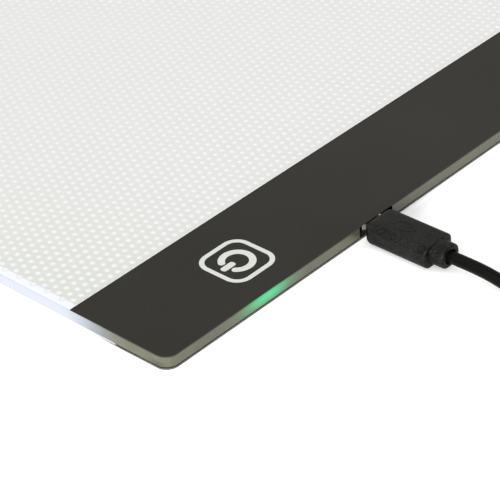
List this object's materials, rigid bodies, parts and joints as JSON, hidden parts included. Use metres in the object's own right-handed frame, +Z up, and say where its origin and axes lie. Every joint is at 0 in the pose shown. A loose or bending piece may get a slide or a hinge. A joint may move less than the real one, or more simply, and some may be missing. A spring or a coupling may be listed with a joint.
{
  "type": "light box",
  "caption": "Thin A4 tracing light box: edge-lit clear sheet on rubber feet, black touch strip along one short edge, and a detachable micro USB lead in a coil.",
  "frame": {"origin": "under the middle of the pad, on the table that its feet stand on", "axes": "+X along the black strip, +Y from the strip to the far short edge, +Z up out of the lit face"},
  "size_m": [0.235, 0.4383, 0.0078],
  "materials": {
    "acrylic": "clear polished acrylic with a greenish grey edge",
    "white_sheet": "plain white PVC sheet",
    "black_film": "matt charcoal PET film",
    "white_print": "off-white printing ink",
    "circuit_board": "green solder mask",
    "led_body": "white LED package with yellow phosphor",
    "green_led": "clear green LED package",
    "chip_black": "black moulding compound",
    "ceramic": "fired ceramic",
    "foam": "conductive foam",
    "steel": "nickel-plated steel",
    "contact_carrier": "black liquid-crystal polymer",
    "rubber": "soft black rubber",
    "cable_black": "matt black PVC",
    "red_wire": "red wire insulation",
    "black_wire": "black wire insulation"
  },
  "bodies": {
    "pad": {"light_guide_plate": "acrylic", "reflector_sheet": "white_sheet", "bay_mask_film": "black_film", "rear_cover": "white_sheet", "control_strip_film": "black_film", "power_key_frame": "white_print", "power_key_arc": "white_print", "power_key_bar": "white_print", "led_bar_board": "circuit_board", "control_board": "circuit_board", "touch_chip": "chip_black", "dimmer_transistor": "chip_black", "capacitor_1": "ceramic", "capacitor_2": "ceramic", "resistor_1": "chip_black", "resistor_2": "chip_black", "indicator_led": "green_led", "touch_foam": "foam", "lead_red": "red_wire", "lead_black": "black_wire", "usb_socket_shell": "steel", "usb_socket_tongue": "contact_carrier", "foot_front_left": "rubber", "foot_front_right": "rubber", "foot_back_left": "rubber", "foot_back_right": "rubber", "led_01": "led_body", "led_02": "led_body", "led_03": "led_body", "led_04": "led_body", "led_05": "led_body", "led_06": "led_body", "led_07": "led_body", "led_08": "led_body", "led_09": "led_body", "led_10": "led_body", "led_11": "led_body", "led_12": "led_body", "led_13": "led_body", "led_14": "led_body", "led_15": "led_body", "led_16": "led_body", "led_17": "led_body", "led_18": "led_body", "led_19": "led_body", "led_20": "led_body", "led_21": "led_body", "led_22": "led_body", "led_23": "led_body", "led_24": "led_body"},
    "lead": {"plug_shell": "steel", "plug_contacts": "contact_carrier", "plug_body": "cable_black", "usb_cord": "cable_black", "usb_cord_coil": "cable_black", "usb_cord_tail": "cable_black", "usb_a_body": "cable_black", "usb_a_shell": "steel", "usb_a_insert": "contact_carrier"}
  },
  "joints": [
    {"name": "plug_pull", "type": "slide", "parent": "pad", "child": "lead", "axis": [0, -1, 0], "range_m": [0, 0.01]}
  ]
}
